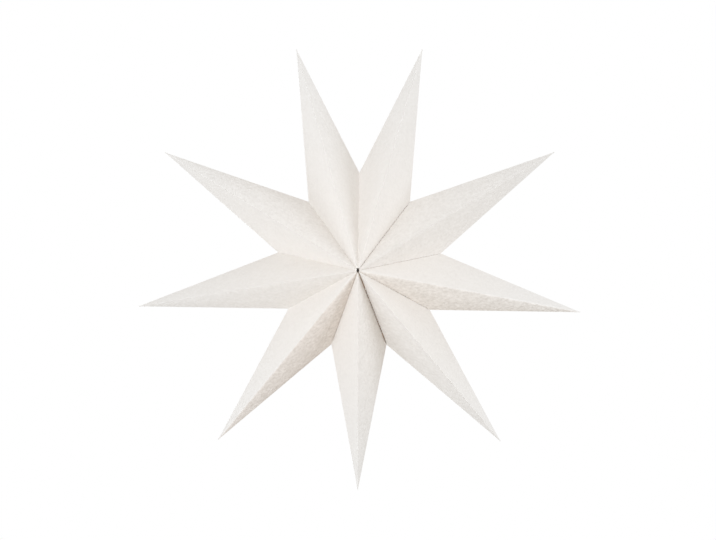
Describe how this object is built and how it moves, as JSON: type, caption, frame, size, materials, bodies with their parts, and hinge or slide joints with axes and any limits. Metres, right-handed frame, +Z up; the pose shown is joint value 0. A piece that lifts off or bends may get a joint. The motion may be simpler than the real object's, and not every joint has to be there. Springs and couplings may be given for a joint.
{
  "type": "folding paper star lamp",
  "caption": "Folded paper star with pointed arms around a hub, a lamp inside on a bent hanger, and a top seam where it opens and folds shut.",
  "frame": {"origin": "centre of the cord inlet's mouth, the point the star hangs from", "axes": "+Z up along the cord, front of the star towards -Y, +X to the right seen from the front"},
  "size_m": [0.5953, 0.1555, 0.5944],
  "materials": {
    "paper": "matte",
    "hook_tape": "matte",
    "loop_tape": "matte",
    "steel": "satin",
    "holder": "satin",
    "ceramic": "matte",
    "brass": "satin",
    "aluminium": "satin",
    "insulator": "gloss",
    "solder": "satin",
    "glass": "gloss",
    "stem_glass": "gloss",
    "filament": "matte"
  },
  "bodies": {
    "hanger": {"hanger": "steel", "seam_flap_right": "paper", "hook_dots": "hook_tape", "cord_inlet_nipple": "steel", "nipple_nut": "steel", "holder_cap": "holder", "holder_body": "holder", "contact_block": "ceramic", "screw_shell": "brass", "centre_contact": "brass", "terminal_screws": "brass"},
    "point_1_front_left": {"point_1_front_left": "paper"},
    "point_1_front_right": {"point_1_front_right": "paper"},
    "point_1_rear_left": {"point_1_rear_left": "paper"},
    "point_1_rear_right": {"point_1_rear_right": "paper"},
    "point_2_front_left": {"point_2_front_left": "paper"},
    "point_2_front_right": {"point_2_front_right": "paper"},
    "point_2_rear_left": {"point_2_rear_left": "paper"},
    "point_2_rear_right": {"point_2_rear_right": "paper"},
    "point_3_front_left": {"point_3_front_left": "paper"},
    "point_3_front_right": {"point_3_front_right": "paper"},
    "point_3_rear_left": {"point_3_rear_left": "paper"},
    "point_3_rear_right": {"point_3_rear_right": "paper"},
    "point_4_front_left": {"point_4_front_left": "paper"},
    "point_4_front_right": {"point_4_front_right": "paper"},
    "point_4_rear_left": {"point_4_rear_left": "paper"},
    "point_4_rear_right": {"point_4_rear_right": "paper"},
    "point_5_front_left": {"point_5_front_left": "paper"},
    "point_5_front_right": {"point_5_front_right": "paper"},
    "point_5_rear_left": {"point_5_rear_left": "paper"},
    "point_5_rear_right": {"point_5_rear_right": "paper"},
    "point_6_front_left": {"point_6_front_left": "paper"},
    "point_6_front_right": {"point_6_front_right": "paper"},
    "point_6_rear_left": {"point_6_rear_left": "paper"},
    "point_6_rear_right": {"point_6_rear_right": "paper"},
    "point_7_front_left": {"point_7_front_left": "paper"},
    "point_7_front_right": {"point_7_front_right": "paper"},
    "point_7_rear_left": {"point_7_rear_left": "paper"},
    "point_7_rear_right": {"point_7_rear_right": "paper"},
    "point_8_front_left": {"point_8_front_left": "paper"},
    "point_8_front_right": {"point_8_front_right": "paper"},
    "point_8_rear_left": {"point_8_rear_left": "paper"},
    "point_8_rear_right": {"point_8_rear_right": "paper"},
    "point_9_front_left": {"point_9_front_left": "paper"},
    "point_9_front_right": {"point_9_front_right": "paper", "seam_flap_front_left": "paper", "loop_dots_front": "loop_tape"},
    "point_9_rear_left": {"point_9_rear_left": "paper"},
    "point_9_rear_right": {"point_9_rear_right": "paper", "seam_flap_rear_left": "paper", "loop_dots_rear": "loop_tape"},
    "bulb_tip": {"bulb_tip_contact": "solder"},
    "bulb": {"bulb_base": "aluminium", "bulb_insulator": "insulator", "bulb_glass": "glass", "bulb_stem": "stem_glass", "led_filaments": "filament"}
  },
  "joints": [
    {"name": "seam_fold", "type": "hinge", "parent": "hanger", "child": "point_1_front_left", "pos_m": [0, -0.083, -0.09728], "axis": [0, -0.528, -0.8493], "range_deg": [0, 37.13]},
    {"name": "ridge_fold_1", "type": "hinge", "parent": "point_1_front_left", "child": "point_1_front_right", "pos_m": [-0.00017, -0.08004, -0.09803], "axis": [0.2684, 0.2515, 0.9299], "range_deg": [-0.5, 63.97]},
    {"name": "crease_fold_1_left", "type": "hinge", "parent": "point_1_front_left", "child": "point_1_rear_left", "pos_m": [0.0843, -0.004, 0.1948], "axis": [0.455, 0, 0.8905], "range_deg": [-0.5, 59.93]},
    {"name": "crease_fold_1_right", "type": "hinge", "parent": "point_1_front_right", "child": "point_1_rear_right", "pos_m": [0.0843, -0.004, 0.1948], "axis": [-0.0787, 0, -0.9969], "range_deg": [-0.5, 63.58]},
    {"name": "valley_fold_1", "type": "hinge", "parent": "point_1_front_right", "child": "point_2_front_left", "pos_m": [0.00012, -0.08327, -0.09713], "axis": [-0.4994, -0.5785, -0.645], "range_deg": [-0.5, 79.64]},
    {"name": "ridge_fold_2", "type": "hinge", "parent": "point_2_front_left", "child": "point_2_front_right", "pos_m": [-0.00067, -0.08007, -0.09765], "axis": [0.8331, 0.2515, 0.4927], "range_deg": [-0.5, 65.05]},
    {"name": "crease_fold_2_left", "type": "hinge", "parent": "point_2_front_left", "child": "point_2_rear_left", "pos_m": [0.26167, -0.004, 0.05747], "axis": [0.9454, 0, 0.3258], "range_deg": [-0.5, 63.58]},
    {"name": "crease_fold_2_right", "type": "hinge", "parent": "point_2_front_right", "child": "point_2_rear_right", "pos_m": [0.26167, -0.004, 0.05747], "axis": [-0.7442, 0, -0.668], "range_deg": [-0.5, 61.98]},
    {"name": "valley_fold_2", "type": "hinge", "parent": "point_2_front_right", "child": "point_3_front_left", "pos_m": [0.00019, -0.08328, -0.09725], "axis": [-0.8044, -0.5785, -0.1353], "range_deg": [-0.5, 77.5]},
    {"name": "ridge_fold_3", "type": "hinge", "parent": "point_3_front_left", "child": "point_3_front_right", "pos_m": [-0.00076, -0.07999, -0.09708], "axis": [0.9484, 0.2515, -0.193], "range_deg": [-0.5, 62.33]},
    {"name": "crease_fold_3_left", "type": "hinge", "parent": "point_3_front_left", "child": "point_3_rear_left", "pos_m": [0.2979, -0.004, -0.15789], "axis": [0.9218, 0, -0.3877], "range_deg": [-0.5, 61.98]},
    {"name": "crease_fold_3_right", "type": "hinge", "parent": "point_3_front_right", "child": "point_3_rear_right", "pos_m": [0.2979, -0.004, -0.15789], "axis": [-0.9999, 0, 0.0139], "range_deg": [-0.5, 58.38]},
    {"name": "valley_fold_3", "type": "hinge", "parent": "point_3_front_right", "child": "point_4_front_left", "pos_m": [0.00017, -0.08329, -0.09738], "axis": [-0.6974, -0.5785, 0.4232], "range_deg": [-0.5, 72.7]},
    {"name": "ridge_fold_4", "type": "hinge", "parent": "point_4_front_left", "child": "point_4_front_right", "pos_m": [-0.0005, -0.07994, -0.09666], "axis": [0.6091, 0.2515, -0.7522], "range_deg": [-0.5, 60.37]},
    {"name": "crease_fold_4_left", "type": "hinge", "parent": "point_4_front_left", "child": "point_4_rear_left", "pos_m": [0.19131, -0.004, -0.33353], "axis": [0.474, 0, -0.8805], "range_deg": [-0.5, 58.38]},
    {"name": "crease_fold_4_right", "type": "hinge", "parent": "point_4_front_right", "child": "point_4_rear_right", "pos_m": [0.19131, -0.004, -0.33353], "axis": [-0.7624, 0, 0.6471], "range_deg": [-0.5, 58.23]},
    {"name": "valley_fold_4", "type": "hinge", "parent": "point_4_front_right", "child": "point_5_front_left", "pos_m": [0.00007, -0.08329, -0.09747], "axis": [-0.2696, -0.5785, 0.7699], "range_deg": [-0.5, 72.51]},
    {"name": "ridge_fold_5", "type": "hinge", "parent": "point_5_front_left", "child": "point_5_front_right", "pos_m": [0.00002, -0.07992, -0.09648], "axis": [-0.0068, 0.2515, -0.9678], "range_deg": [-0.5, 59.84]},
    {"name": "crease_fold_5_left", "type": "hinge", "parent": "point_5_front_left", "child": "point_5_rear_left", "pos_m": [-0.00212, -0.004, -0.40127], "axis": [-0.1922, 0, -0.9814], "range_deg": [-0.5, 58.23]},
    {"name": "crease_fold_5_right", "type": "hinge", "parent": "point_5_front_right", "child": "point_5_rear_right", "pos_m": [-0.00212, -0.004, -0.40127], "axis": [-0.176, 0, 0.9844], "range_deg": [-0.5, 57.37]},
    {"name": "valley_fold_5", "type": "hinge", "parent": "point_5_front_right", "child": "point_6_front_left", "pos_m": [-0.00007, -0.08329, -0.09747], "axis": [0.2763, -0.5785, 0.7675], "range_deg": [-0.5, 71.37]},
    {"name": "ridge_fold_6", "type": "hinge", "parent": "point_6_front_left", "child": "point_6_front_right", "pos_m": [0.00048, -0.07995, -0.09664], "axis": [-0.6117, 0.2515, -0.75], "range_deg": [-0.5, 60.73]},
    {"name": "crease_fold_6_left", "type": "hinge", "parent": "point_6_front_left", "child": "point_6_rear_left", "pos_m": [-0.19214, -0.004, -0.33286], "axis": [-0.7631, 0, -0.6463], "range_deg": [-0.5, 57.37]},
    {"name": "crease_fold_6_right", "type": "hinge", "parent": "point_6_front_right", "child": "point_6_rear_right", "pos_m": [-0.19214, -0.004, -0.33286], "axis": [0.4731, 0, 0.881], "range_deg": [-0.5, 59.93]},
    {"name": "valley_fold_6", "type": "hinge", "parent": "point_6_front_right", "child": "point_7_front_left", "pos_m": [-0.00017, -0.08328, -0.09738], "axis": [0.7028, -0.5785, 0.414], "range_deg": [-0.5, 74.76]},
    {"name": "ridge_fold_7", "type": "hinge", "parent": "point_7_front_left", "child": "point_7_front_right", "pos_m": [0.00077, -0.07999, -0.09714], "axis": [-0.9526, 0.2515, -0.1714], "range_deg": [-0.5, 62.14]},
    {"name": "crease_fold_7_left", "type": "hinge", "parent": "point_7_front_left", "child": "point_7_rear_left", "pos_m": [-0.2992, -0.004, -0.15111], "axis": [-0.9999, 0, 0.0133], "range_deg": [-0.5, 59.93]},
    {"name": "crease_fold_7_right", "type": "hinge", "parent": "point_7_front_right", "child": "point_7_rear_right", "pos_m": [-0.2992, -0.004, -0.15111], "axis": [0.9324, 0, 0.3614], "range_deg": [-0.5, 60.07]},
    {"name": "valley_fold_7", "type": "hinge", "parent": "point_7_front_right", "child": "point_8_front_left", "pos_m": [-0.0002, -0.08328, -0.09724], "axis": [0.8029, -0.5785, -0.1437], "range_deg": [-0.5, 74.94]},
    {"name": "ridge_fold_8", "type": "hinge", "parent": "point_8_front_left", "child": "point_8_front_right", "pos_m": [0.00068, -0.08004, -0.09763], "axis": [-0.8339, 0.2515, 0.4912], "range_deg": [-0.5, 64.11]},
    {"name": "crease_fold_8_left", "type": "hinge", "parent": "point_8_front_left", "child": "point_8_rear_left", "pos_m": [-0.26194, -0.004, 0.05701], "axis": [-0.7491, 0, 0.6624], "range_deg": [-0.5, 60.07]},
    {"name": "crease_fold_8_right", "type": "hinge", "parent": "point_8_front_right", "child": "point_8_rear_right", "pos_m": [-0.26194, -0.004, 0.05701], "axis": [0.9461, 0, -0.3238], "range_deg": [-0.5, 63.71]},
    {"name": "valley_fold_8", "type": "hinge", "parent": "point_8_front_right", "child": "point_9_front_left", "pos_m": [-0.00012, -0.08327, -0.09713], "axis": [0.5, -0.5785, -0.6445], "range_deg": [-0.5, 79.82]},
    {"name": "ridge_fold_9", "type": "hinge", "parent": "point_9_front_left", "child": "point_9_front_right", "pos_m": [0.00017, -0.08004, -0.09803], "axis": [-0.2684, 0.2515, 0.9299], "range_deg": [-0.5, 64.04]},
    {"name": "crease_fold_9_left", "type": "hinge", "parent": "point_9_front_left", "child": "point_9_rear_left", "pos_m": [-0.0843, -0.004, 0.1948], "axis": [-0.0783, 0, 0.9969], "range_deg": [-0.5, 63.71]},
    {"name": "crease_fold_9_right", "type": "hinge", "parent": "point_9_front_right", "child": "point_9_rear_right", "pos_m": [-0.0843, -0.004, 0.1948], "axis": [0.455, 0, -0.8905], "range_deg": [-0.5, 59.93]},
    {"name": "bulb_climb", "type": "slide", "parent": "hanger", "child": "bulb_tip", "axis": [0, 0, -1], "range_m": [-0.0001, 0.00998]},
    {"name": "bulb_turn", "type": "hinge", "parent": "bulb_tip", "child": "bulb", "pos_m": [0, 0, -0.07], "axis": [0, 0, -1], "range_deg": [0, 1260]}
  ],
  "couplings": [
    {"joint": "ridge_fold_1", "follows": "seam_fold", "ratio": 1.7096},
    {"joint": "crease_fold_1_left", "follows": "seam_fold", "ratio": 1.6006},
    {"joint": "crease_fold_1_right", "follows": "seam_fold", "ratio": 1.6989},
    {"joint": "valley_fold_1", "follows": "seam_fold", "ratio": 2.1317},
    {"joint": "ridge_fold_2", "follows": "seam_fold", "ratio": 1.7385},
    {"joint": "crease_fold_2_left", "follows": "seam_fold", "ratio": 1.6989},
    {"joint": "crease_fold_2_right", "follows": "seam_fold", "ratio": 1.656},
    {"joint": "valley_fold_2", "follows": "seam_fold", "ratio": 2.0739},
    {"joint": "ridge_fold_3", "follows": "seam_fold", "ratio": 1.6653},
    {"joint": "crease_fold_3_left", "follows": "seam_fold", "ratio": 1.656},
    {"joint": "crease_fold_3_right", "follows": "seam_fold", "ratio": 1.5588},
    {"joint": "valley_fold_3", "follows": "seam_fold", "ratio": 1.9446},
    {"joint": "ridge_fold_4", "follows": "seam_fold", "ratio": 1.6125},
    {"joint": "crease_fold_4_left", "follows": "seam_fold", "ratio": 1.5588},
    {"joint": "crease_fold_4_right", "follows": "seam_fold", "ratio": 1.555},
    {"joint": "valley_fold_4", "follows": "seam_fold", "ratio": 1.9395},
    {"joint": "ridge_fold_5", "follows": "seam_fold", "ratio": 1.5984},
    {"joint": "crease_fold_5_left", "follows": "seam_fold", "ratio": 1.555},
    {"joint": "crease_fold_5_right", "follows": "seam_fold", "ratio": 1.5317},
    {"joint": "valley_fold_5", "follows": "seam_fold", "ratio": 1.9088},
    {"joint": "ridge_fold_6", "follows": "seam_fold", "ratio": 1.6222},
    {"joint": "crease_fold_6_left", "follows": "seam_fold", "ratio": 1.5317},
    {"joint": "crease_fold_6_right", "follows": "seam_fold", "ratio": 1.6006},
    {"joint": "valley_fold_6", "follows": "seam_fold", "ratio": 2},
    {"joint": "ridge_fold_7", "follows": "seam_fold", "ratio": 1.6601},
    {"joint": "crease_fold_7_left", "follows": "seam_fold", "ratio": 1.6006},
    {"joint": "crease_fold_7_right", "follows": "seam_fold", "ratio": 1.6044},
    {"joint": "valley_fold_7", "follows": "seam_fold", "ratio": 2.005},
    {"joint": "ridge_fold_8", "follows": "seam_fold", "ratio": 1.7134},
    {"joint": "crease_fold_8_left", "follows": "seam_fold", "ratio": 1.6044},
    {"joint": "crease_fold_8_right", "follows": "seam_fold", "ratio": 1.7024},
    {"joint": "valley_fold_8", "follows": "seam_fold", "ratio": 2.1364},
    {"joint": "ridge_fold_9", "follows": "seam_fold", "ratio": 1.7114},
    {"joint": "crease_fold_9_left", "follows": "seam_fold", "ratio": 1.7024},
    {"joint": "crease_fold_9_right", "follows": "seam_fold", "ratio": 1.6006},
    {"joint": "bulb_climb", "follows": "bulb_turn", "m_per_rad": 0.00044913}
  ]
}
